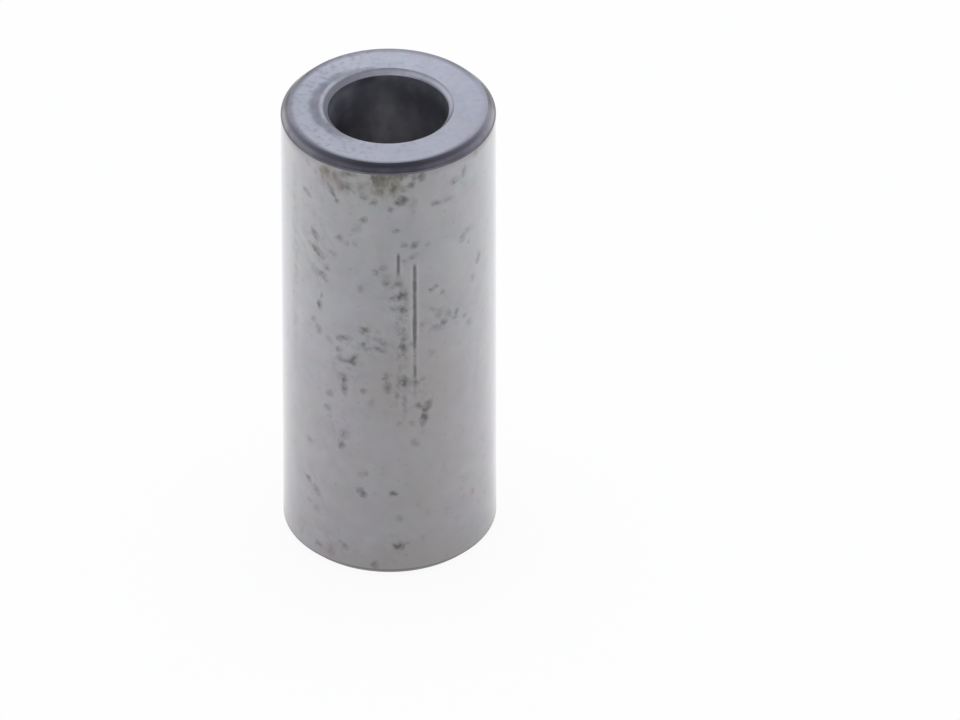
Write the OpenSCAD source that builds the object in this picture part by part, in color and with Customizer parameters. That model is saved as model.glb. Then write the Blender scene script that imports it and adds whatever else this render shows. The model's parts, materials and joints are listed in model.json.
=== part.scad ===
// Gudgeon pin: a hollow ground steel pin that joins a piston to its connecting rod.
// It stands on one end, with its axis along +Z and its origin at the middle of the lower end.
// Lengths are in millimetres and angles in degrees.

/* [Pin] */
// Outside diameter of the ground journal
pin_d = 16; // [12:0.5:25]
// Overall length, end face to end face
pin_l = 37.5; // [20:0.5:80]

/* [Bore] */
// Diameter of the bore that runs right through
bore_d = 9; // [5:0.5:12]

/* [Rim at each end of the journal] */
// Radial width of the rim chamfer
rim_chamfer_w = 0.6; // [0.3:0.05:1.2]
// Slope of the rim chamfer, measured from the end face
rim_chamfer_angle = 45; // [25:1:60]
// Radius that blends the rim chamfer into the journal
rim_blend_r = 0.25; // [0.05:0.05:0.5]

/* [Mouth at each end of the bore] */
// Radial width of the mouth chamfer
mouth_chamfer_w = 0.4; // [0.1:0.05:1]
// Slope of the mouth chamfer, measured from the end face
mouth_chamfer_angle = 45; // [25:1:60]

/* [Hidden] */
$fn = 180;

// Steps in the arc of a rim blend
blend_steps = 6;

// Radii of the journal and the bore
pin_r = pin_d / 2;
bore_r = bore_d / 2;

// Depths of the two chamfers along the axis
rim_chamfer_h = rim_chamfer_w * tan(rim_chamfer_angle);
mouth_chamfer_h = mouth_chamfer_w * tan(mouth_chamfer_angle);

// Turn of the rim blend, and its centre as radius and height, tangent to the chamfer and the journal
blend_turn = 90 - rim_chamfer_angle;
blend_centre = [pin_r - rim_blend_r, rim_chamfer_h + rim_blend_r * tan(blend_turn / 2)];

// Arc of the blend, from the chamfer up to the journal
rim_blend = [
    for (step = [0 : blend_steps])
        let (angle = blend_turn * (step / blend_steps - 1))
            blend_centre + rim_blend_r * [cos(angle), sin(angle)]
];

// Outline of the wall at the lower end, from the bore round to the journal
lower_end = concat(
    [
        [bore_r, mouth_chamfer_h],
        [bore_r + mouth_chamfer_w, 0],
        [pin_r - rim_chamfer_w, 0]
    ],
    rim_blend
);

// The upper end is the lower end turned over, from the journal round to the bore
upper_end = [
    for (i = [len(lower_end) - 1 : -1 : 0])
        [lower_end[i][0], pin_l - lower_end[i][1]]
];

// The whole pin: its wall turned about the axis
module gudgeon_pin() {
    color([0.6, 0.6, 0.62])
        rotate_extrude()
            polygon(concat(lower_end, upper_end));
}

gudgeon_pin();
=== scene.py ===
"""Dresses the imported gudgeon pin: its finish, the stage it stands on and the camera."""
import json
import math

import bpy
from mathutils import Matrix, Vector


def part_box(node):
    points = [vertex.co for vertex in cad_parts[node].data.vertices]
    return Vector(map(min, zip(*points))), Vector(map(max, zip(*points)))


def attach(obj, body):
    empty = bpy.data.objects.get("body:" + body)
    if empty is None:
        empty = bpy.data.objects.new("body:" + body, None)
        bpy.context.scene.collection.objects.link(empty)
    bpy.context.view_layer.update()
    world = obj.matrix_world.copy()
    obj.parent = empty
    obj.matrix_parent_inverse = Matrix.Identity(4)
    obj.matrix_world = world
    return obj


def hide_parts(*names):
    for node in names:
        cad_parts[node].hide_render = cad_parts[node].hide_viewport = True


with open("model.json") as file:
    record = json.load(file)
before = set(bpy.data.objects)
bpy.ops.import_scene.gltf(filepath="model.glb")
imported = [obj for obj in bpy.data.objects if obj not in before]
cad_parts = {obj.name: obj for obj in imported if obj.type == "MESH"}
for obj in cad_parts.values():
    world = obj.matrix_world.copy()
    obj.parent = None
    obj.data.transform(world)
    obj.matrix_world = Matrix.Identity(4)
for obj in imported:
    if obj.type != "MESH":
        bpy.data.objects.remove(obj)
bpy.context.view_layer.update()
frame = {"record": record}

# Sizes are in mm, and become metres where the mesh, the bumps and the camera are made
MM = 0.001

# Sizes of the pin, from the frame
low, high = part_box("gudgeon_pin")
mounts = {mount["name"]: mount for mount in frame["record"]["mounts"]}
PIN_L = (high.z - low.z) / MM
PIN_R = mounts["journal"]["dims"]["r_mm"]
BORE_R = mounts["bore"]["dims"]["r_mm"]
JOURNAL_L = mounts["journal"]["dims"]["length_mm"]
BORE_L = mounts["bore"]["dims"]["length_mm"]

# Edges of the pin: the blend from rim to journal, and the small rounds on the other edges
RIM_SLOPE = math.radians(45)
RIM_BLEND_R = 0.25
EDGE_R = 0.1
RIM_H = (PIN_L - JOURNAL_L) / 2 - RIM_BLEND_R * math.tan((math.pi / 2 - RIM_SLOPE) / 2)
RIM_W = RIM_H / math.tan(RIM_SLOPE)
MOUTH_H = (PIN_L - BORE_L) / 2
MOUTH_W = MOUTH_H
FACE_R = PIN_R - RIM_W
MOUTH_R = BORE_R + MOUTH_W

# Mesh density: steps round the pin, in a small edge, in the rim blend and along a long wall
ROUND_STEPS = 288
EDGE_STEPS = 4
BLEND_STEPS = 10
WALL_STEPS = 12

# Corners of the wall's outline: radius, height, edge round, and the zone that follows
CORNERS = [
    (BORE_R, MOUTH_H, EDGE_R, "mouth"),
    (MOUTH_R, 0.0, EDGE_R, "end"),
    (FACE_R, 0.0, EDGE_R, "rim"),
    (PIN_R, RIM_H, RIM_BLEND_R, "journal"),
    (PIN_R, PIN_L - RIM_H, RIM_BLEND_R, "rim"),
    (FACE_R, PIN_L, EDGE_R, "end"),
    (MOUTH_R, PIN_L, EDGE_R, "mouth"),
    (BORE_R, PIN_L - MOUTH_H, EDGE_R, "bore"),
]

# Texture sheet: the journal unrolled below, the two ends and the bore above it
SHEET = 54.0
SHEET_GAP = 0.5
END_ROW = JOURNAL_L + 2 * SHEET_GAP
BORE_SHEET_W = 17.0
BORE_SHEET_H = 16.0

# Marks on the journal, read from the photograph in degrees round from the front and mm up.
# Specks: angle, height, size, darkness
SPECKS = [
    (-48, 36.2, 0.6, 0.3), (-8, 36.5, 0.6, 0.7), (-3, 36.5, 0.6, 0.5), (5, 36.6, 0.7, 0.6),
    (12, 35.8, 0.6, 0.7), (3, 35.5, 0.5, 0.6), (8, 35.5, 0.6, 0.5), (7, 34.4, 0.9, 1.2),
    (4, 34.2, 0.5, 0.7), (-31, 34.2, 0.4, 0.5), (-29, 33.8, 0.5, 0.7), (1, 33.6, 0.5, 0.7),
    (4, 31.7, 0.5, 0.7), (-27, 30.5, 0.6, 0.5), (-23, 30.2, 0.5, 0.5), (-18, 30.2, 0.5, 0.4),
    (8, 30.4, 0.5, 0.7), (21, 30.2, 0.5, 0.3), (8, 28.9, 0.5, 0.3), (48, 28.9, 0.4, 0.3),
    (-7, 27.9, 0.5, 0.6), (-2, 27.0, 0.6, 0.6), (2, 26.6, 0.4, 0.4), (5, 26.9, 0.6, 0.7),
    (-38, 26.6, 0.7, 0.6), (-36, 26.2, 0.4, 0.4), (23, 25.9, 0.5, 0.7), (26, 26.1, 0.5, 0.5),
    (30, 25.5, 0.5, 0.6), (51, 25.4, 0.7, 0.3), (-39, 24.7, 0.4, 0.5), (7, 24.4, 0.5, 0.5),
    (24, 24.1, 0.5, 0.3), (39, 23.2, 0.5, 0.6), (38, 22.8, 0.5, 0.4), (4, 23.2, 0.5, 0.3),
    (44, 22.4, 0.4, 0.4), (26, 22.5, 0.5, 0.45), (8, 22.3, 0.4, 0.4), (-6, 22.5, 0.5, 0.3),
    (-45, 22.2, 0.7, 0.4), (-14, 21.3, 0.5, 0.7), (12, 21.3, 0.5, 0.5), (8, 21.1, 0.5, 0.5),
    (-11, 20.9, 0.4, 0.4), (48, 21.6, 0.7, 0.3), (-28, 20.3, 0.6, 0.6), (23, 20.2, 0.7, 0.3),
    (-28, 19.6, 0.5, 0.4), (18, 18.0, 0.5, 0.5), (-26, 17.9, 0.8, 0.5), (-24, 17.7, 0.5, 0.6),
    (8, 17.9, 0.7, 0.6), (14, 17.7, 0.5, 0.5), (-14, 17.0, 0.6, 0.7), (4, 16.7, 0.5, 0.4),
    (-35, 14.7, 0.6, 0.5), (-34, 14.0, 0.5, 0.3), (5, 14.1, 0.5, 0.3), (12, 14.0, 0.5, 0.4),
    (-25, 12.7, 0.9, 0.4), (-48, 10.9, 0.6, 0.4), (-13, 9.5, 0.6, 0.4), (-16, 9.3, 0.5, 0.3),
    (2, 7.7, 0.6, 1.1), (-49, 7.2, 0.6, 0.5), (51, 5.8, 0.5, 0.4), (5, 5.4, 0.5, 0.4),
    (-49, 5.3, 0.5, 0.4), (-43, 4.8, 0.7, 0.3), (6, 3.3, 0.4, 0.3), (9, 3.0, 0.4, 0.4),
    (5, 2.8, 0.7, 1.1), (-28, 2.7, 0.4, 0.3), (-42, 1.6, 0.6, 0.5),
]
# Streaks: angle, height, length, slant in degrees from level, darkness
STREAKS = [
    (54, 36.6, 1.0, 85, 0.3), (18, 36.4, 0.9, 90, 0.8), (14, 36.4, 0.8, 50, 0.5),
    (-24, 36.4, 0.9, 15, 0.7), (44, 35.6, 1.0, 85, 0.5), (-16, 35.5, 1.0, 80, 0.3),
    (-23, 35.4, 1.0, 5, 0.4), (38, 35.1, 0.8, 175, 0.5), (-13, 34.7, 0.6, 10, 0.5),
    (-32, 34.6, 0.8, 95, 0.6), (-8, 34.3, 0.7, 90, 0.6), (13, 34.0, 1.6, 90, 0.3),
    (26, 33.7, 1.0, 165, 0.55), (33, 33.7, 1.0, 175, 0.4), (-49, 33.4, 1.1, 155, 0.5),
    (-14, 32.6, 0.8, 55, 0.7), (-18, 31.6, 1.3, 55, 0.3), (14, 30.3, 0.8, 30, 0.8),
    (-43, 30.0, 1.2, 135, 0.6), (47, 30.0, 1.1, 20, 0.3), (43, 29.6, 0.8, 75, 0.4),
    (13, 29.3, 0.9, 40, 0.4), (-32, 28.9, 0.9, 160, 0.4), (-42, 28.6, 1.6, 160, 0.7),
    (-3, 28.4, 0.7, 20, 0.4), (-35, 27.4, 0.7, 155, 0.4), (-43, 26.8, 1.0, 130, 0.4),
    (56, 26.8, 0.9, 75, 0.7), (-15, 26.3, 0.8, 75, 0.4), (8, 26.0, 1.2, 85, 0.35),
    (5, 25.7, 1.3, 25, 0.75), (5, 24.6, 1.1, 170, 0.65), (-40, 23.8, 1.0, 85, 0.8),
    (28, 23.7, 0.9, 85, 0.3), (33, 23.4, 0.8, 125, 0.4), (18, 22.9, 0.8, 10, 0.3),
    (31, 22.7, 0.6, 50, 0.7), (-13, 22.6, 0.8, 25, 0.8), (28, 22.2, 0.9, 170, 0.3),
    (-5, 21.7, 1.5, 155, 0.4), (-41, 21.5, 0.9, 90, 0.6), (-25, 21.5, 1.3, 10, 0.7),
    (-34, 21.0, 0.9, 120, 0.3), (-5, 20.9, 1.1, 155, 0.6), (-19, 19.8, 0.9, 75, 0.65),
    (-24, 19.5, 1.6, 5, 0.5), (-2, 18.4, 0.8, 90, 0.6), (-1, 17.4, 1.0, 90, 0.6),
    (-25, 16.9, 1.3, 95, 0.7), (-34, 16.0, 0.7, 10, 0.5), (-10, 15.9, 0.9, 70, 0.3),
    (16, 15.5, 0.9, 140, 0.8), (21, 15.5, 1.1, 60, 0.8), (19, 14.4, 1.4, 80, 1.2),
    (14, 12.2, 0.8, 115, 0.4), (-27, 11.7, 1.0, 90, 0.6), (-15, 7.6, 1.0, 135, 1.1),
    (-43, 6.5, 1.0, 125, 0.5), (-25, 2.3, 0.8, 120, 0.6), (-8, 1.0, 0.7, 90, 0.6),
]
STREAK_W = 0.58
# How far a mark's soft edge reaches, as a multiple of its size
MARK_FADE = 1.4
# How far noise shifts the marks' edges on the front, and the scattered marks elsewhere
RAGGED_SHIFT = 0.6
LOOSE_SHIFT = 1.2
# Scuffs along the pin: angle, lower and upper height, width, darkness, how broken up they are
SCUFFS = [
    (13.8, 20.5, 28.8, 0.48, 1.0, 0.2),
    (13.8, 15.8, 23.5, 0.45, 0.55, 0.4),
    (8, 18.0, 26.6, 0.9, 0.32, 0.8),
    (8, 14.0, 19.0, 0.7, 0.3, 0.5),
    (5, 15.0, 24.0, 0.7, 0.2, 0.8),
    (5, 27.3, 29.9, 0.45, 0.9, 0.1),
    # The last row is no scuff: it is a painted darker band of reflection on the left, with a burr
    # beside it like the rest
    (-60.5, 15.0, 35.5, 1.4, 0.15, 0.5),
]
# Length over which a scuff starts at its top, the share of its length over which it fades out
# below, and how far the burr beside it reaches, as a multiple of its width
SCUFF_START = 0.6
SCUFF_FADE = 0.35
BURR_REACH = 0.9
# Smudged areas: angle, height, width and depth, strength
SMUDGES = [
    (-45, 29.0, 6.0, 11.0, 1.0), (-20, 35.0, 10.0, 4.0, 0.9), (5, 25.0, 4.0, 12.0, 1.0),
    (-14, 21.5, 6.0, 5.0, 1.0), (-24, 18.5, 5.0, 5.0, 0.9), (9, 17.0, 7.0, 6.0, 0.9),
    (28, 23.5, 7.0, 5.0, 0.8), (42, 34.5, 4.0, 4.0, 0.6), (-30, 13.0, 5.0, 6.0, 0.6),
    (-45, 7.0, 5.0, 5.0, 0.6), (-28, 2.5, 6.0, 4.0, 0.7), (5, 3.0, 5.0, 4.0, 0.5),
]
SMEAR_SLANT = 125
SMEAR_STRENGTH = 0.25
# Sum of marks at which the dirt is full
FULL_DIRT = 0.85
# Stains: angle, height, width and depth, strength
OLIVE_STAINS = [
    (-1, 36.5, 2.6, 1.6, 1.2), (-4, 36.6, 1.6, 1.0, 0.9), (6, 36.7, 2.0, 0.9, 0.9),
    (10, 36.7, 1.6, 0.7, 0.7), (-2, 35.7, 3.2, 2.4, 0.9), (3, 35.4, 0.9, 1.8, 0.9),
    (-8, 36.4, 1.0, 1.0, 0.8), (-20, 36.6, 1.2, 0.8, 0.8), (-33, 36.2, 2.6, 1.2, 0.7),
    (-23, 35.4, 1.6, 1.0, 0.5), (-15, 35.6, 1.4, 1.8, 0.3), (8, 25.6, 1.2, 3.0, 0.5),
    (8, 17.8, 2.0, 2.0, 0.5), (14, 17.7, 1.0, 1.2, 0.4), (-57, 2.2, 1.6, 2.4, 0.4),
]
BROWN_STAINS = [
    (-33, 35.8, 3.4, 2.4, 1.3), (-27, 35.3, 2.2, 1.8, 0.6), (18, 36.4, 0.7, 1.4, 0.6),
    (12, 35.9, 0.8, 1.4, 0.5), (-1, 27.4, 1.0, 2.8, 0.5), (5, 27.2, 1.0, 2.2, 0.5),
    (6, 20.5, 3.6, 6.0, 0.3), (-1, 17.4, 1.2, 1.8, 0.5), (-34, 1.5, 1.2, 1.8, 0.8),
    (-8, 1.0, 0.9, 1.4, 0.6),
]
WARM_STAINS = [
    (8, 17.5, 12.0, 10.0, 1.0), (10, 1.0, 18.0, 5.0, 1.2), (20, 9.0, 11.0, 26.0, 0.7),
    (-5, 35.5, 16.0, 4.0, 0.8), (24, 24.0, 14.0, 22.0, 0.5),
]
# Heights between which the journal turns from its lower colour, warmer and darker as painted shade, to
# its upper colour
TINT_START = 12.0
TINT_END = 27.0
# Darker band under the upper rim: where it ends and where it is full, below the pin's top
UNDER_RIM_END = 1.4
UNDER_RIM_FULL = 0.65

# Round patch of painted shade on the upper end: its middle and radius
PATCH_MIDDLE = (-0.95, 0.0, 0.0)
PATCH_R = 5.0
# Painted dark line of shade between end face and rim: its reach into the face, and its middle out on
# the rim
LINE_IN = 0.5
LINE_OUT = 0.18

# Colours of the journal
LOWER_STEEL_WARM_SHADED = (0.452, 0.438, 0.456, 1)
UPPER_STEEL = (0.466, 0.467, 0.483, 1)
CLOUDED_STEEL = (0.27, 0.27, 0.28, 1)
WARM_FILM = (0.41, 0.388, 0.375, 1)
BROWN_FILM = (0.3, 0.262, 0.25, 1)
OLIVE_FILM = (0.19, 0.182, 0.132, 1)
UNDER_RIM_DARK = (0.2, 0.19, 0.175, 1)
BURR = (0.54, 0.54, 0.545, 1)
DIRT = (0.12, 0.117, 0.118, 1)
# Colours of the end faces, their painted shade, and the painted dark line round them
FACE_DARKER = (0.448, 0.449, 0.478, 1)
FACE_LIGHTER = (0.498, 0.499, 0.528, 1)
FACE_FRONT_SHADE = (0.2, 0.2, 0.21, 1)
FACE_FLECK = (0.24, 0.243, 0.265, 1)
FACE_PATCH_SHADE = (0.22, 0.222, 0.24, 1)
EDGE_SHADE_LINE = (0.16, 0.155, 0.176, 1)
EDGE_SHADE_AT_SIDES = (0.3, 0.3, 0.322, 1)
# Colours of the rims, with their painted light and shade
RIM_DARKER = (0.22, 0.213, 0.24, 1)
RIM_LIGHTER = (0.292, 0.282, 0.315, 1)
RIM_SIDE_REFLECTION = (0.44, 0.44, 0.47, 1)
RIM_CORNER_SHADE = (0.12, 0.117, 0.112, 1)
LOWER_RIM_LIGHTENED = (0.36, 0.35, 0.34, 1)
RIM_FOOT_HIGHLIGHT = (0.55, 0.535, 0.52, 1)
# Colours of the mouths, and their painted shade
MOUTH_DARKER = (0.53, 0.535, 0.6, 1)
MOUTH_LIGHTER = (0.61, 0.615, 0.68, 1)
MOUTH_OUTER_SHADE = (0.25, 0.255, 0.285, 1)
MOUTH_SHADED = (0.16, 0.16, 0.18, 1)
# Colours of the bore, many of them painted light and shade
BORE_SHALLOW = (0.18, 0.182, 0.21, 1)
BORE_DEEP_LIT = (0.6, 0.592, 0.628, 1)
BORE_RIGHT_SHADE = (0.1, 0.1, 0.115, 1)
BORE_SIDE_SHADE = (0.07, 0.07, 0.08, 1)
BORE_BLUISH_SHEEN = (0.36, 0.37, 0.44, 1)
BORE_STAIN = (0.04, 0.04, 0.042, 1)
BORE_PALE_REFLECTION = (0.66, 0.66, 0.62, 1)
WORN_DARK = (0.08, 0.078, 0.085, 1)
WORN_PALE = (0.66, 0.65, 0.66, 1)
BORE_SMEAR = (0.12, 0.12, 0.14, 1)
BORE_FLECK = (0.08, 0.08, 0.09, 1)

# Stage: half the floor's side in metres, and its colours and those of the surround
FLOOR_HALF = 4.0
WHITE = (1, 1, 1, 1)
FLOOR_PAINT = (0.93, 0.93, 0.93, 1)
SKY_FRONT = (0.22, 0.225, 0.27, 1)
SKY_SIDES = (0.36, 0.365, 0.41, 1)
SKY_BACK = (0.92, 0.95, 1.08, 1)
# Share of the floor that glows white to the camera and to mirror rays. The rest takes the shadow.
CAMERA_SHARE = 0.93
MIRROR_SHARE = 0.75
# Mirrored tone of the floor in front and behind, beside the pin's foot, and far away: painted shade in
# front and far away, a painted shadow beside the foot, painted light behind
FRONT_SHADE_TONE = 0.59
BACK_TONE = 1.07
FOOT_SHADOW_TONE = 0.7
FAR_SHADE_TONE = 0.45
FAR_START = 64.0
FAR_END = 115.0
# Softbox overhead: size and height in metres, power in watts
SOFTBOX_SIZE = 1.0
SOFTBOX_HEIGHT = 1.2
SOFTBOX_POWER = 6.0

# Camera, measured from the photograph: it looks along +Y and down. Its distance is in metres.
IMAGE_W, IMAGE_H = 960, 720
PIN_MIDDLE_PX = (389.3, 310.7)
CAMERA_ELEVATION = math.radians(35.56)
CAMERA_DISTANCE = 1.642
CAMERA_ROLL = math.radians(-0.235)
SENSOR_MM = 36.0
LENS_MM = 824.3


def node(tree, kind, inputs=None, **settings):
    """Adds a node. Each input is a plain value or another node's output socket."""
    made = tree.nodes.new(kind)
    for name, value in settings.items():
        setattr(made, name, value)
    for key, value in (inputs or {}).items():
        if isinstance(value, bpy.types.NodeSocket):
            tree.links.new(value, made.inputs[key])
        else:
            made.inputs[key].default_value = value
    return made


def maths(tree, operation, first, second=0.0, third=0.0):
    """Adds a Math node and returns its output."""
    inputs = {0: first, 1: second, 2: third}
    return node(tree, "ShaderNodeMath", inputs, operation=operation).outputs[0]


def product(tree, *factors):
    """Multiplies any number of factors and returns the output."""
    result = factors[0]
    for factor in factors[1:]:
        result = maths(tree, "MULTIPLY", result, factor)
    return result


def apart(tree, value, middle=0.0):
    """Returns how far a value lies from a middle, either way."""
    return maths(tree, "ABSOLUTE", maths(tree, "SUBTRACT", value, middle))


def vector_maths(tree, operation, first, second):
    """Adds a Vector Math node and returns its output."""
    return node(tree, "ShaderNodeVectorMath", {0: first, 1: second}, operation=operation).outputs[0]


def scaled(tree, vector, scale):
    """Multiplies a vector by one number and returns the output."""
    return vector_maths(tree, "MULTIPLY", vector, (scale, scale, scale))


def separate(tree, vector):
    """Returns a vector's three outputs."""
    return node(tree, "ShaderNodeSeparateXYZ", {0: vector}).outputs


def ramp(tree, value, start, end, low_value=0.0, high_value=1.0, smooth=True):
    """Maps start to end onto low_value to high_value and returns the output."""
    kind = "SMOOTHSTEP" if smooth else "LINEAR"
    inputs = {0: value, 1: start, 2: end, 3: low_value, 4: high_value}
    return node(tree, "ShaderNodeMapRange", inputs, interpolation_type=kind).outputs[0]


def blend_colour(tree, factor, first, second):
    """Mixes two colours by factor and returns the output."""
    return node(tree, "ShaderNodeMix", {0: factor, 6: first, 7: second}, data_type="RGBA").outputs[2]


def layered(tree, colour, layers):
    """Lays colours over a first one, in turn, each by its own share."""
    for share, layer in layers:
        colour = blend_colour(tree, share, colour, layer)
    return colour


def noise(tree, point, per_mm, detail=2.0, stretch=(1, 1, 1)):
    """Adds a noise texture and returns its value and colour outputs."""
    placed = vector_maths(tree, "MULTIPLY", point, stretch)
    made = node(tree, "ShaderNodeTexNoise", {"Vector": placed, "Scale": per_mm, "Detail": detail})
    return made.outputs[0], made.outputs[1]


def tinted(tree, colour, point, per_mm, amount):
    """Varies a colour's tint from place to place, by up to half the amount either way."""
    _, hue = noise(tree, point, per_mm, 2.0)
    level = 1 - amount / 2
    tint = vector_maths(tree, "ADD", scaled(tree, hue, amount), (level, level, level))
    return vector_maths(tree, "MULTIPLY", colour, tint)


def axis_distance(tree, point):
    """Returns the distance from the pin's axis in mm."""
    x, y, _ = separate(tree, point)
    flat = node(tree, "ShaderNodeCombineXYZ", {0: x, 1: y}).outputs[0]
    return node(tree, "ShaderNodeVectorMath", {0: flat}, operation="LENGTH").outputs["Value"]


def corner_arc(before, corner, after):
    """Rounds one corner of the wall's outline. Returns its points as (place, normal)."""
    here = Vector(corner[:2])
    come = (here - Vector(before[:2])).normalized()
    leave = (Vector(after[:2]) - here).normalized()
    turn = math.atan2(come.x * leave.y - come.y * leave.x, come.dot(leave))
    round_r = corner[2]
    start = here - come * round_r * math.tan(turn / 2)
    first_normal = Vector((come.y, -come.x))
    centre = start - first_normal * round_r
    steps = BLEND_STEPS if round_r == RIM_BLEND_R else EDGE_STEPS
    arc = []
    for step in range(steps + 1):
        normal = Matrix.Rotation(turn * step / steps, 2) @ first_normal
        arc.append((centre + normal * round_r, normal))
    return arc


def share_before(zone_before, zone):
    """Returns the share of an edge that the zone before it takes. A rim takes its whole blend."""
    if zone == "journal":
        return 1.0
    if zone_before == "journal":
        return 0.0
    return 0.5


def wall_outline():
    """Returns the wall's outline as (place, normal, zone of the face that follows)."""
    count = len(CORNERS)
    arcs = []
    for i, corner in enumerate(CORNERS):
        arcs.append(corner_arc(CORNERS[i - 1], corner, CORNERS[(i + 1) % count]))
    outline = []
    for i, arc in enumerate(arcs):
        zone_before = CORNERS[i - 1][3]
        zone = CORNERS[i][3]
        split = share_before(zone_before, zone)
        for step, (place, normal) in enumerate(arc):
            share = step / (len(arc) - 1)
            outline.append((place, normal, zone_before if share < split else zone))
        if zone in ("journal", "bore"):
            start, normal = arc[-1]
            end = arcs[(i + 1) % count][0][0]
            for step in range(1, WALL_STEPS):
                outline.append((start.lerp(end, step / WALL_STEPS), normal, zone))
    return outline


def sheet_place(zone, turn, place):
    """Returns where a corner of a face lies on the texture sheet, from 0 to 1."""
    share = turn / ROUND_STEPS
    r, z = place
    if zone == "journal":
        across = SHEET_GAP + 2 * math.pi * PIN_R * share
        up = SHEET_GAP + z - (PIN_L - JOURNAL_L) / 2
    elif zone == "bore":
        across = 4 * PIN_R + 3 * SHEET_GAP + BORE_SHEET_W * share
        up = END_ROW + SHEET_GAP + BORE_SHEET_H * z / PIN_L
    else:
        angle = 2 * math.pi * share
        side = 0 if z < PIN_L / 2 else 1
        across = PIN_R + SHEET_GAP + side * (2 * PIN_R + SHEET_GAP) + r * math.cos(angle)
        up = END_ROW + PIN_R + SHEET_GAP + r * math.sin(angle)
    return across / SHEET, up / SHEET


def lathe_pin(materials):
    """Turns the wall's outline into the pin's mesh, with a material for each zone."""
    outline = wall_outline()
    count = len(outline)
    points = []
    normals = []
    for turn in range(ROUND_STEPS):
        # The turn starts at the back, so that the texture's seam is there
        angle = math.pi / 2 + 2 * math.pi * turn / ROUND_STEPS
        c, s = math.cos(angle), math.sin(angle)
        for place, normal, _ in outline:
            r, z = place * MM
            points.append((r * c, r * s, z + low.z))
            normals.append((normal.x * c, normal.x * s, normal.y))
    faces = []
    zones = []
    sheet = []
    for turn in range(ROUND_STEPS):
        here = turn * count
        there = (turn + 1) % ROUND_STEPS * count
        for i, (place, _, zone) in enumerate(outline):
            j = (i + 1) % count
            next_place = outline[j][0]
            faces.append((here + i, there + i, there + j, here + j))
            zones.append(zone)
            sheet += sheet_place(zone, turn, place)
            sheet += sheet_place(zone, turn + 1, place)
            sheet += sheet_place(zone, turn + 1, next_place)
            sheet += sheet_place(zone, turn, next_place)
    mesh = bpy.data.meshes.new("gudgeon_pin_body")
    mesh.from_pydata(points, [], faces)
    names = list(materials)
    for name in names:
        mesh.materials.append(materials[name])
    mesh.polygons.foreach_set("material_index", [names.index(zone) for zone in zones])
    mesh.polygons.foreach_set("use_smooth", [True] * len(faces))
    mesh.uv_layers.new(name="OFBake").uv.foreach_set("vector", sheet)
    mesh.normals_split_custom_set_from_vertices(normals)
    pin = bpy.data.objects.new("gudgeon_pin_body", mesh)
    bpy.context.scene.collection.objects.link(pin)
    return pin


def new_material(name):
    """Returns an empty node material, its tree and the place on the object in mm."""
    material = bpy.data.materials.new(name)
    material.use_nodes = True
    tree = material.node_tree
    tree.nodes.clear()
    place = node(tree, "ShaderNodeTexCoord").outputs["Object"]
    return material, tree, scaled(tree, place, 1 / MM)


def surface(tree, inputs, height, bump):
    """Ends a material with one Principled shader over a bump of the given depth in mm."""
    relief = {"Strength": 1.0, "Distance": bump * MM, "Height": height}
    normal = node(tree, "ShaderNodeBump", relief).outputs[0]
    shader = node(tree, "ShaderNodeBsdfPrincipled", {**inputs, "Normal": normal})
    node(tree, "ShaderNodeOutputMaterial", {"Surface": shader.outputs[0]})


def add_mark(tree, place, total, angle, height, length, width, slant, strength):
    """Adds one soft oval to a running total, at an angle round the journal and a height up it."""
    inputs = {
        "Vector": place,
        "Location": (math.radians(angle) * PIN_R, height, 0),
        "Rotation": (0, 0, math.radians(slant)),
        "Scale": (length / 2, width / 2, 1),
    }
    oval = node(tree, "ShaderNodeMapping", inputs, vector_type="TEXTURE").outputs[0]
    fade = node(tree, "ShaderNodeTexGradient", {0: oval}, gradient_type="SPHERICAL").outputs[1]
    return maths(tree, "MULTIPLY_ADD", fade, strength, total)


def stain_total(tree, place, stains):
    """Adds up a list of stains or smudges."""
    total = 0.0
    for angle, height, width, depth, strength in stains:
        total = add_mark(tree, place, total, angle, height, width, depth, 0, strength)
    return total


def mark_total(tree, place):
    """Adds up the specks and streaks."""
    total = 0.0
    for angle, height, size, strength in SPECKS:
        spread = size * MARK_FADE
        total = add_mark(tree, place, total, angle, height, spread, spread, 0, strength)
    for angle, height, length, slant, strength in STREAKS:
        spread = STREAK_W * MARK_FADE
        total = add_mark(tree, place, total, angle, height, length * MARK_FADE, spread, slant, strength)
    return total


def scuff_total(tree, place, gaps):
    """Adds up the scuffs along the pin, one of them a painted darker band of reflection, and the bright
    burr beside them. Each fades out downwards.
    """
    along, height, _ = separate(tree, place)
    total = 0.0
    burr = 0.0
    for angle, lower, upper, width, strength, broken in SCUFFS:
        aside = apart(tree, along, math.radians(angle) * PIN_R)
        start = ramp(tree, height, upper, upper - SCUFF_START)
        fade = ramp(tree, height, lower, lower + SCUFF_FADE * (upper - lower))
        length = product(tree, start, fade)
        beside = ramp(tree, aside, width * BURR_REACH, width / 2, 0.0, strength)
        burr = maths(tree, "MULTIPLY_ADD", beside, length, burr)
        length = product(tree, length, maths(tree, "MULTIPLY_ADD", gaps, broken, 1 - broken))
        line = ramp(tree, aside, width / 2, 0.0, 0.0, strength)
        total = maths(tree, "MULTIPLY_ADD", line, length, total)
    return total, burr


def smear_noise(tree, place, slant):
    """Returns noise drawn out along a slant, for smears."""
    turned = {"Vector": place, "Rotation": (0, 0, math.radians(-slant))}
    along = node(tree, "ShaderNodeMapping", turned).outputs[0]
    value, _ = noise(tree, along, 1.0, 1.5, (0.9, 2.2, 1.0))
    return value


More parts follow.
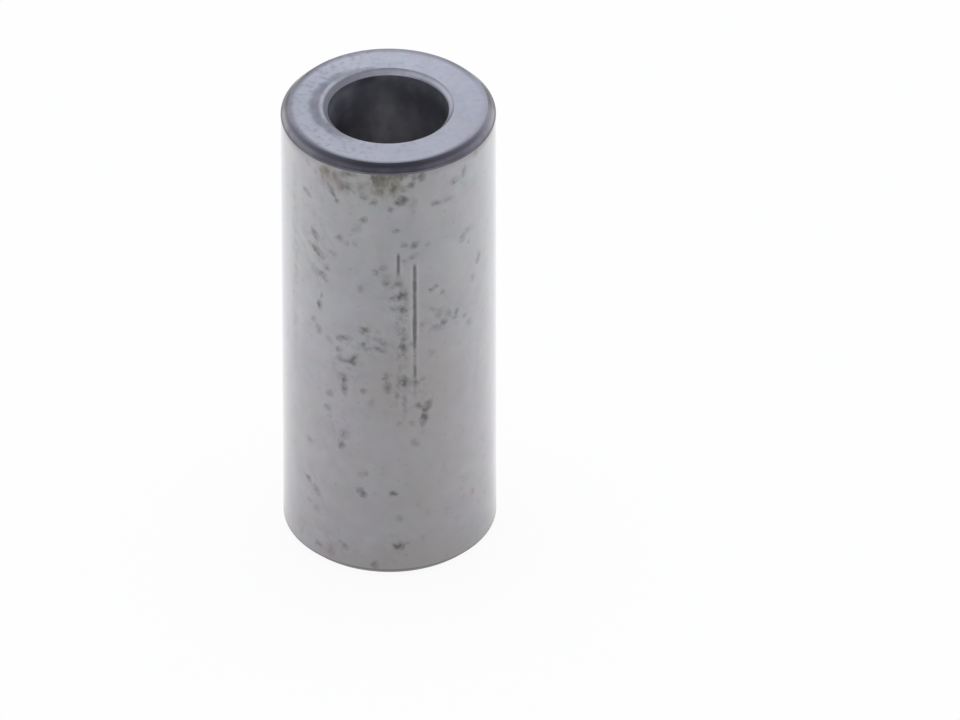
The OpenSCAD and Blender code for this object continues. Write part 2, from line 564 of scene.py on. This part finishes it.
def random_specks(tree, point, per_mm, size, share, strength):
    """Scatters specks at random, in a share of the cells of a grid."""
    cells = node(tree, "ShaderNodeTexVoronoi", {"Vector": point, "Scale": per_mm}).outputs
    chance = node(tree, "ShaderNodeSeparateColor", {0: cells["Color"]}).outputs[0]
    chosen = maths(tree, "LESS_THAN", chance, share)
    spot = ramp(tree, cells["Distance"], size * per_mm, size * per_mm * 0.3, 0.0, strength)
    return product(tree, chosen, spot)


def scattered_marks(tree, point, shift, cloud, rear):
    """Scatters fine specks all round, and clustered specks and streaks on the unseen rear."""
    loose = vector_maths(tree, "ADD", point, scaled(tree, shift, LOOSE_SHIFT))
    turned = {"Vector": loose, "Rotation": (0, math.radians(40), 0), "Scale": (1.0, 1.0, 0.4)}
    drawn_out = node(tree, "ShaderNodeMapping", turned).outputs[0]
    fine_specks = random_specks(tree, point, per_mm=1.7, size=0.2, share=0.2, strength=0.12)
    large_specks = random_specks(tree, loose, per_mm=0.8, size=0.42, share=0.35, strength=0.75)
    streaks = random_specks(tree, drawn_out, per_mm=0.9, size=0.34, share=0.3, strength=0.7)
    large_marks = product(
        tree,
        maths(tree, "MAXIMUM", large_specks, streaks),
        ramp(tree, cloud, 0.4, 0.6, 0.2, 1.2),
        ramp(tree, rear, 0.0, 1.0, 0.12, 1.0),
    )
    return maths(tree, "ADD", fine_specks, large_marks)


def journal_dirt(tree, point, place, ragged, shift):
    """Returns how dirty the journal is at a place, with one painted darker band of reflection among the
    scuffs, and how bright a scuff's burr is there.
    """
    _, y, _ = separate(tree, point)
    rear = ramp(tree, y, -2.0, 3.0)
    grain, _ = noise(tree, point, 3.0, 1.0)
    blotch, _ = noise(tree, point, 1.5, 3.0)
    cloud, _ = noise(tree, point, 0.3, 2.0)

    # Marks are placed on the front, and scattered on the rest, which the photograph doesn't show
    scattered = scattered_marks(tree, point, shift, cloud, rear)
    marks = maths(tree, "ADD", mark_total(tree, ragged), scattered)
    marks = product(tree, marks, ramp(tree, grain, 0.3, 0.7, 0.6, 1.2))

    scuffs, burr = scuff_total(tree, place, ramp(tree, blotch, 0.44, 0.58, 0.1, 1.7))

    diagonal = ramp(tree, smear_noise(tree, place, SMEAR_SLANT), 0.46, 0.76)
    smears = maths(tree, "MAXIMUM", diagonal, ramp(tree, blotch, 0.5, 0.72))
    rear_smudges = product(tree, rear, ramp(tree, cloud, 0.48, 0.62, 0.0, 0.45))
    smudges = maths(tree, "ADD", stain_total(tree, ragged, SMUDGES), rear_smudges)

    total = maths(tree, "ADD", marks, scuffs)
    total = maths(tree, "MULTIPLY_ADD", product(tree, smears, smudges), SMEAR_STRENGTH, total)
    return ramp(tree, total, 0.0, FULL_DIRT, smooth=False), burr


def journal_colour(tree, point, ragged, dirt, burr):
    """Returns the journal's colour: bluish above, warmer below with painted shade, stained and dirty.
    """
    x, y, z = separate(tree, point)
    patchy, _ = noise(tree, point, 0.9, 3.0)
    cloud, _ = noise(tree, point, 0.22, 4.0)
    blotchy, _ = noise(tree, point, 1.8, 2.0, (1.0, 1.0, 0.6))

    # The steel is warmer below and darker there as painted shade; it is cloudy and patchy, less so on
    # the rear
    steel = blend_colour(tree, ramp(tree, z, TINT_START, TINT_END), LOWER_STEEL_WARM_SHADED, UPPER_STEEL)
    clouds = ramp(tree, cloud, 0.3, 0.7, -0.04, 0.16, smooth=False)
    patches = ramp(tree, patchy, 0.3, 0.7, -0.03, 0.14, smooth=False)
    shade = product(tree, maths(tree, "ADD", clouds, patches), ramp(tree, y, -2.0, 4.0, 1.0, 0.35))
    steel = blend_colour(tree, shade, steel, CLOUDED_STEEL)
    steel = tinted(tree, steel, point, 0.5, 0.13)

    uneven = ramp(tree, blotchy, 0.36, 0.62, 0.45, 1.5)
    warm = stain_total(tree, ragged, WARM_STAINS)
    brown = product(tree, stain_total(tree, ragged, BROWN_STAINS), uneven)
    olive = product(tree, stain_total(tree, ragged, OLIVE_STAINS), uneven)
    # The journal is darker in a narrow band under the upper rim, more so at the two sides
    under_rim = product(
        tree,
        ramp(tree, apart(tree, x), 4.5, 7.5, 0.25, 0.6),
        ramp(tree, z, PIN_L - UNDER_RIM_END, PIN_L - UNDER_RIM_FULL),
    )
    return layered(tree, steel, [
        (ramp(tree, warm, 0.0, 0.9, 0.0, 0.6), WARM_FILM),
        (ramp(tree, brown, 0.05, 0.9, 0.0, 0.75, smooth=False), BROWN_FILM),
        (ramp(tree, olive, 0.05, 1.0, 0.0, 0.9, smooth=False), OLIVE_FILM),
        (under_rim, UNDER_RIM_DARK),
        (product(tree, burr, 0.42), BURR),
        (product(tree, dirt, 0.85), DIRT),
    ])


def journal_steel():
    """Ground and polished steel under a thin oil film, with dried specks, scuffs and stains, and some
    painted shade.
    """
    material, tree, point = new_material("journal_steel")
    x, y, z = separate(tree, point)
    angle = maths(tree, "ARCTAN2", x, product(tree, y, -1.0))
    along = product(tree, angle, PIN_R)
    place = node(tree, "ShaderNodeCombineXYZ", {0: along, 1: z}).outputs[0]

    # Ragged edges: the place is shifted by a small random amount before a mark is drawn
    _, drift = noise(tree, point, 1.5, 2.0)
    shift = vector_maths(tree, "SUBTRACT", drift, (0.5, 0.5, 0.5))
    flat_shift = vector_maths(tree, "MULTIPLY", shift, (RAGGED_SHIFT, RAGGED_SHIFT, 0.0))
    ragged = vector_maths(tree, "ADD", place, flat_shift)

    dirt, burr = journal_dirt(tree, point, place, ragged, shift)
    ground, _ = noise(tree, point, 1.0, 3.0, (0.25, 0.25, 9.0))
    polish = ramp(tree, ground, 0.3, 0.7, 0.1, 0.16, smooth=False)
    inputs = {
        "Base Color": journal_colour(tree, point, ragged, dirt, burr),
        "Metallic": maths(tree, "MULTIPLY_ADD", dirt, -0.35, 1.0),
        "Roughness": maths(tree, "MULTIPLY_ADD", dirt, 0.3, polish),
        "Coat Weight": 0.5,
        "Coat Roughness": 0.1,
    }
    surface(tree, inputs, ground, 0.0012)
    return material


def patch_shade(tree, point):
    """Returns the share of painted shade at a place on the upper end, inside the round patch there."""
    x, y, z = separate(tree, point)
    ragged, _ = noise(tree, point, 1.2, 3.0)
    away = axis_distance(tree, vector_maths(tree, "SUBTRACT", point, PATCH_MIDDLE))
    away = maths(tree, "MULTIPLY_ADD", maths(tree, "SUBTRACT", ragged, 0.5), 0.5, away)
    # The painted shade leaves a bright ring round the mouth, between the front and the back
    ring = product(
        tree,
        ramp(tree, axis_distance(tree, point), MOUTH_R + 0.36, MOUTH_R + 0.12),
        ramp(tree, y, -2.6, -1.2),
        ramp(tree, y, 4.0, 2.4),
    )
    # The patch is fainter on the right and at the back, and fades out at the front
    return product(
        tree,
        ramp(tree, away, PATCH_R + 0.2, PATCH_R - 0.32),
        ramp(tree, x, 1.55, -2.45, 0.6, 1.0),
        ramp(tree, y, 2.0, 4.2, 1.0, 0.7),
        ramp(tree, y, -5.0, -3.2),
        ramp(tree, ragged, 0.38, 0.62, 1.05, 0.85),
        maths(tree, "SUBTRACT", 1.0, ring),
        maths(tree, "GREATER_THAN", z, PIN_L / 2),
    )


def edge_shade_line(tree, point):
    """Returns the colour of the painted dark line of shade between end face and rim, faintest at the
    two sides.
    """
    x, y, _ = separate(tree, point)
    side = ramp(tree, apart(tree, x, -0.25), 6.6, 8.4)
    side = product(tree, side, ramp(tree, y, 0.0, 2.5, 1.0, 0.35))
    return blend_colour(tree, side, EDGE_SHADE_LINE, EDGE_SHADE_AT_SIDES)


def end_steel():
    """Satin end face, mottled more on the left, with painted shade towards the front, a round patch of
    painted shade, and a painted dark line at its outer edge.
    """
    material, tree, point = new_material("end_steel")
    x, y, _ = separate(tree, point)
    fine, _ = noise(tree, point, 2.1, 5.0)
    broad, _ = noise(tree, point, 0.6, 4.0)
    flecks = product(
        tree,
        ramp(tree, fine, 0.48, 0.72, 0.0, 0.4),
        ramp(tree, x, 4.0, -5.0, 0.42, 1.3),
    )
    steel = blend_colour(tree, ramp(tree, broad, 0.3, 0.7), FACE_DARKER, FACE_LIGHTER)
    # Painted shade: the face is darker towards the front
    steel = blend_colour(tree, ramp(tree, y, 0.0, 6.5, 0.17, 0.0), steel, FACE_FRONT_SHADE)
    steel = blend_colour(tree, flecks, steel, FACE_FLECK)
    steel = tinted(tree, steel, point, 0.7, 0.12)
    # The round patch is painted shade, and the face is also rougher there
    patch = patch_shade(tree, point)
    steel = blend_colour(tree, product(tree, patch, 0.92), steel, FACE_PATCH_SHADE)
    # The painted line of shade is widest at the back, and faintest on the right
    away = maths(tree, "MULTIPLY_ADD", y, 0.022, axis_distance(tree, point))
    edge = product(
        tree,
        ramp(tree, away, FACE_R - LINE_IN, FACE_R),
        ramp(tree, apart(tree, x), 5.5, 7.3, 1.0, 0.7),
        ramp(tree, x, 4.5, 7.3, 1.0, 0.4),
        ramp(tree, y, 3.0, 7.0, 1.0, 0.52),
    )
    colour = blend_colour(tree, edge, steel, edge_shade_line(tree, point))
    roughness = maths(tree, "MULTIPLY_ADD", broad, 0.12, 0.12)
    roughness = maths(tree, "MULTIPLY_ADD", patch, 0.08, roughness)
    surface(tree, {"Base Color": colour, "Metallic": 1.0, "Roughness": roughness}, fine, 0.002)
    return material


def rim_steel():
    """Dark turned chamfer, darkest along the painted line of shade where it meets the end face."""
    material, tree, point = new_material("rim_steel")
    x, _, z = separate(tree, point)
    away = axis_distance(tree, point)
    broad, _ = noise(tree, point, 0.8, 3.0)
    turned, _ = noise(tree, point, 1.0, 2.0, (0.4, 0.4, 7.0))
    steel = blend_colour(tree, ramp(tree, broad, 0.3, 0.7), RIM_DARKER, RIM_LIGHTER)
    # Painted reflection: the rim is lighter at the two sides
    steel = blend_colour(tree, ramp(tree, apart(tree, x), 7.3, 7.85, 0.0, 0.7), steel, RIM_SIDE_REFLECTION)
    # Painted shade: the dark line runs along the rim next to the end face
    off_line = ramp(tree, apart(tree, away, FACE_R + LINE_OUT), 0.03, 0.19)
    colour = blend_colour(tree, off_line, edge_shade_line(tree, point), steel)
    # The lower rim is paler, as painted light, without the bluish tint, and palest at its foot, as a
    # painted highlight
    colour = layered(tree, colour, [
        # Painted shade along the rim's outer corner, at the blend
        (ramp(tree, away, PIN_R - 0.16, PIN_R - 0.05, 0.0, 0.35), RIM_CORNER_SHADE),
        (ramp(tree, z, PIN_L, 0.0, 0.0, 0.8), LOWER_RIM_LIGHTENED),
        (ramp(tree, z, 0.3, 0.08), RIM_FOOT_HIGHLIGHT),
    ])
    roughness = ramp(tree, turned, 0.3, 0.7, 0.16, 0.26)
    surface(tree, {"Base Color": colour, "Metallic": 1.0, "Roughness": roughness}, turned, 0.002)
    return material


def mouth_steel():
    """Coarser chamfer at the bore's mouth, brightest along its inner edge, with painted shade along its
    outer edge, in front, on the left and along the lip.
    """
    material, tree, point = new_material("mouth_steel")
    x, y, _ = separate(tree, point)
    away = axis_distance(tree, point)
    fine, _ = noise(tree, point, 2.0, 3.0)
    steel = blend_colour(tree, ramp(tree, fine, 0.3, 0.7), MOUTH_DARKER, MOUTH_LIGHTER)
    # Painted shade: it is dark in front, on the left inside a bright edge, and along the lip at the
    # back right
    front = ramp(tree, y, 1.0, -2.5, 0.0, 0.8)
    left = product(
        tree,
        ramp(tree, x, 1.0, -4.5, 0.0, 0.85),
        ramp(tree, away, MOUTH_R - 0.02, MOUTH_R - 0.12),
    )
    lip = product(
        tree,
        ramp(tree, x, 1.0, 3.0),
        ramp(tree, y, -1.0, 1.0),
        ramp(tree, away, BORE_R + 0.16, BORE_R + 0.04, 0.0, 0.7),
    )
    dark = maths(tree, "MAXIMUM", maths(tree, "MAXIMUM", left, lip), front)
    colour = layered(tree, steel, [
        # Painted dark line of shade along the outer edge
        (ramp(tree, away, MOUTH_R - 0.18, MOUTH_R - 0.04, 0.0, 0.55), MOUTH_OUTER_SHADE),
        (dark, MOUTH_SHADED),
    ])
    roughness = ramp(tree, fine, 0.3, 0.7, 0.42, 0.55)
    surface(tree, {"Base Color": colour, "Metallic": 0.55, "Roughness": roughness}, fine, 0.004)
    return material


def bore_steel():
    """Dark drawn bore with painted light and shade: darkest near its mouths, lighter deeper down, with
    painted dark sides and a painted paler reflection down the middle.
    """
    material, tree, point = new_material("bore_steel")
    x, _, z = separate(tree, point)
    depth = maths(tree, "MINIMUM", z, maths(tree, "SUBTRACT", PIN_L, z))
    smear, _ = noise(tree, point, 0.5, 4.0, (1.0, 1.0, 0.35))
    fine, _ = noise(tree, point, 1.6, 4.0)
    worn, _ = noise(tree, point, 0.8, 2.0, (1.0, 1.0, 0.8))
    # Painted shade on the two sides
    dark_left = product(
        tree,
        ramp(tree, x, 0.2, -3.6, 0.0, 0.9, smooth=False),
        ramp(tree, depth, 1.4, 4.0),
    )
    dark_right = product(
        tree,
        ramp(tree, x, 0.0, 4.2, 0.0, 0.78, smooth=False),
        ramp(tree, depth, 0.8, 2.0),
        ramp(tree, depth, 2.2, 3.6, 1.0, 0.66),
    )
    # Painted bluish sheen near the mouth on the left
    bluish_left = product(
        tree,
        ramp(tree, x, -1.5, -3.2, 0.0, 0.5),
        ramp(tree, depth, 2.4, 1.0),
        ramp(tree, depth, 0.5, 1.2),
    )
    stain = product(
        tree,
        ramp(tree, apart(tree, x, -1.6), 1.2, 0.4, 0.0, 0.75),
        ramp(tree, depth, 1.3, 0.6),
    )
    # Painted paler reflection down the middle
    pale_middle = product(
        tree,
        ramp(tree, apart(tree, x, -0.2), 1.4, 0.2, 0.0, 0.6),
        ramp(tree, depth, 1.2, 4.0),
    )
    # Painted light: the bore is lighter deeper down; painted shade darkens the right
    steel = blend_colour(tree, ramp(tree, depth, 1.0, 6.0), BORE_SHALLOW, BORE_DEEP_LIT)
    colour = layered(tree, steel, [
        (ramp(tree, x, -0.5, 3.0, 0.0, 0.2), BORE_RIGHT_SHADE),
        (maths(tree, "MAXIMUM", dark_left, dark_right), BORE_SIDE_SHADE),
        (bluish_left, BORE_BLUISH_SHEEN),
        (stain, BORE_STAIN),
        (pale_middle, BORE_PALE_REFLECTION),
        (ramp(tree, worn, 0.4, 0.65, 0.0, 0.16), WORN_DARK),
        (ramp(tree, worn, 0.52, 0.36, 0.0, 0.07), WORN_PALE),
        (ramp(tree, smear, 0.4, 0.65, 0.0, 0.3), BORE_SMEAR),
        (ramp(tree, fine, 0.5, 0.75, 0.0, 0.22), BORE_FLECK),
    ])
    roughness = ramp(tree, smear, 0.3, 0.7, 0.5, 0.65)
    surface(tree, {"Base Color": colour, "Metallic": 0.2, "Roughness": roughness}, fine, 0.005)
    return material


def stand_floor():
    """Lays the white floor. Camera and mirror rays see it nearly white, with the pin's shadow."""
    mesh = bpy.data.meshes.new("floor")
    corners = [(-1, -1), (1, -1), (1, 1), (-1, 1)]
    mesh.from_pydata([(x * FLOOR_HALF, y * FLOOR_HALF, 0) for x, y in corners], [], [(0, 1, 2, 3)])
    floor = bpy.data.objects.new("floor", mesh)
    bpy.context.scene.collection.objects.link(floor)
    material, tree, point = new_material("white_floor")
    path = node(tree, "ShaderNodeLightPath").outputs
    away = axis_distance(tree, point)
    way = node(tree, "ShaderNodeVectorMath", {0: point}, operation="NORMALIZE").outputs[0]
    _, behind, _ = separate(tree, way)

    # In the steel the floor is dimmer with painted shade in front and far away, and a painted shadow
    # beside the pin's foot
    tone = product(
        tree,
        ramp(tree, behind, -1.0, 0.6, FRONT_SHADE_TONE, BACK_TONE, smooth=False),
        ramp(tree, away, PIN_R - 0.6, PIN_R + 0.9, FOOT_SHADOW_TONE, 1.0),
        ramp(tree, away, FAR_START, FAR_END, 1.0, FAR_SHADE_TONE),
    )
    tone = node(tree, "ShaderNodeMix", {0: path["Is Camera Ray"], 2: tone, 3: 1.0}).outputs[0]

    # The floor under the pin doesn't glow, so that the bore stays dark
    outside = maths(tree, "GREATER_THAN", away, (MOUTH_R + FACE_R) / 2)
    seen = product(tree, path["Is Glossy Ray"], MIRROR_SHARE)
    seen = maths(tree, "MULTIPLY_ADD", path["Is Camera Ray"], CAMERA_SHARE, seen)
    seen = maths(tree, "MULTIPLY_ADD", path["Is Transmission Ray"], MIRROR_SHARE, seen)
    seen = product(tree, seen, outside)
    glow = node(tree, "ShaderNodeEmission", {"Color": WHITE, "Strength": tone})
    matt = node(tree, "ShaderNodeBsdfDiffuse", {"Color": FLOOR_PAINT})
    mixed = node(tree, "ShaderNodeMixShader", {0: seen, 1: matt.outputs[0], 2: glow.outputs[0]})
    node(tree, "ShaderNodeOutputMaterial", {"Surface": mixed.outputs[0]})
    mesh.materials.append(material)


def light_world():
    """Soft studio surround: white at the horizon, pale blue above the back, dim above the front."""
    world = bpy.data.worlds.new("studio")
    bpy.context.scene.world = world
    world.use_nodes = True
    tree = world.node_tree
    tree.nodes.clear()
    way = node(tree, "ShaderNodeTexCoord").outputs["Generated"]
    x, y, z = separate(tree, way)
    front = blend_colour(tree, ramp(tree, apart(tree, x), 0.36, 0.62), SKY_FRONT, SKY_SIDES)
    upper = blend_colour(tree, ramp(tree, y, -0.35, 0.65), front, SKY_BACK)
    sky = blend_colour(tree, ramp(tree, z, 0.0, 0.55), WHITE, upper)
    soft = node(tree, "ShaderNodeBackground", {"Color": sky, "Strength": 1.0})
    white = node(tree, "ShaderNodeBackground", {"Color": WHITE, "Strength": 1.0})
    camera_ray = node(tree, "ShaderNodeLightPath").outputs["Is Camera Ray"]
    mixed = node(tree, "ShaderNodeMixShader", {0: camera_ray, 1: soft.outputs[0], 2: white.outputs[0]})
    node(tree, "ShaderNodeOutputWorld", {"Surface": mixed.outputs[0]})


def hang_softbox():
    """Hangs a wide soft light overhead. It lights matt surfaces and isn't mirrored in the steel."""
    data = bpy.data.lights.new("softbox", "AREA")
    data.shape = "DISK"
    data.size = SOFTBOX_SIZE
    data.energy = SOFTBOX_POWER
    softbox = bpy.data.objects.new("softbox", data)
    softbox.location = (0, 0, SOFTBOX_HEIGHT)
    softbox.visible_camera = False
    softbox.visible_glossy = False
    bpy.context.scene.collection.objects.link(softbox)


def place_camera():
    """Stands the camera where the photograph was taken from."""
    focal_px = LENS_MM / SENSOR_MM * IMAGE_W
    forward = Vector((0, math.cos(CAMERA_ELEVATION), -math.sin(CAMERA_ELEVATION)))
    right = Vector((1, 0, 0))
    up = right.cross(forward)
    middle = Vector((0, 0, low.z + PIN_L * MM / 2))
    yaw = math.atan2(PIN_MIDDLE_PX[0] - IMAGE_W / 2, focal_px)
    pitch = math.atan2(IMAGE_H / 2 - PIN_MIDDLE_PX[1], focal_px)
    turned_right = right * math.cos(yaw) + forward * math.sin(yaw)
    ahead = forward * math.cos(yaw) - right * math.sin(yaw)
    turned_up = up * math.cos(pitch) + ahead * math.sin(pitch)
    rolled_right = turned_right * math.cos(CAMERA_ROLL) + turned_up * math.sin(CAMERA_ROLL)
    rolled_up = turned_up * math.cos(CAMERA_ROLL) - turned_right * math.sin(CAMERA_ROLL)
    data = bpy.data.cameras.new("camera")
    data.lens = LENS_MM
    data.sensor_width = SENSOR_MM
    camera = bpy.data.objects.new("camera", data)
    axes = Matrix((rolled_right, rolled_up, rolled_right.cross(rolled_up))).transposed()
    camera.matrix_world = Matrix.Translation(middle - forward * CAMERA_DISTANCE) @ axes.to_4x4()
    bpy.context.scene.collection.objects.link(camera)
    bpy.context.scene.camera = camera


finishes = {
    "journal": journal_steel(),
    "end": end_steel(),
    "rim": rim_steel(),
    "mouth": mouth_steel(),
    "bore": bore_steel(),
}
pin = lathe_pin(finishes)
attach(pin, "root")
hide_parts("gudgeon_pin")

stand_floor()
light_world()
hang_softbox()
place_camera()
bpy.context.scene.view_settings.view_transform = "Standard"
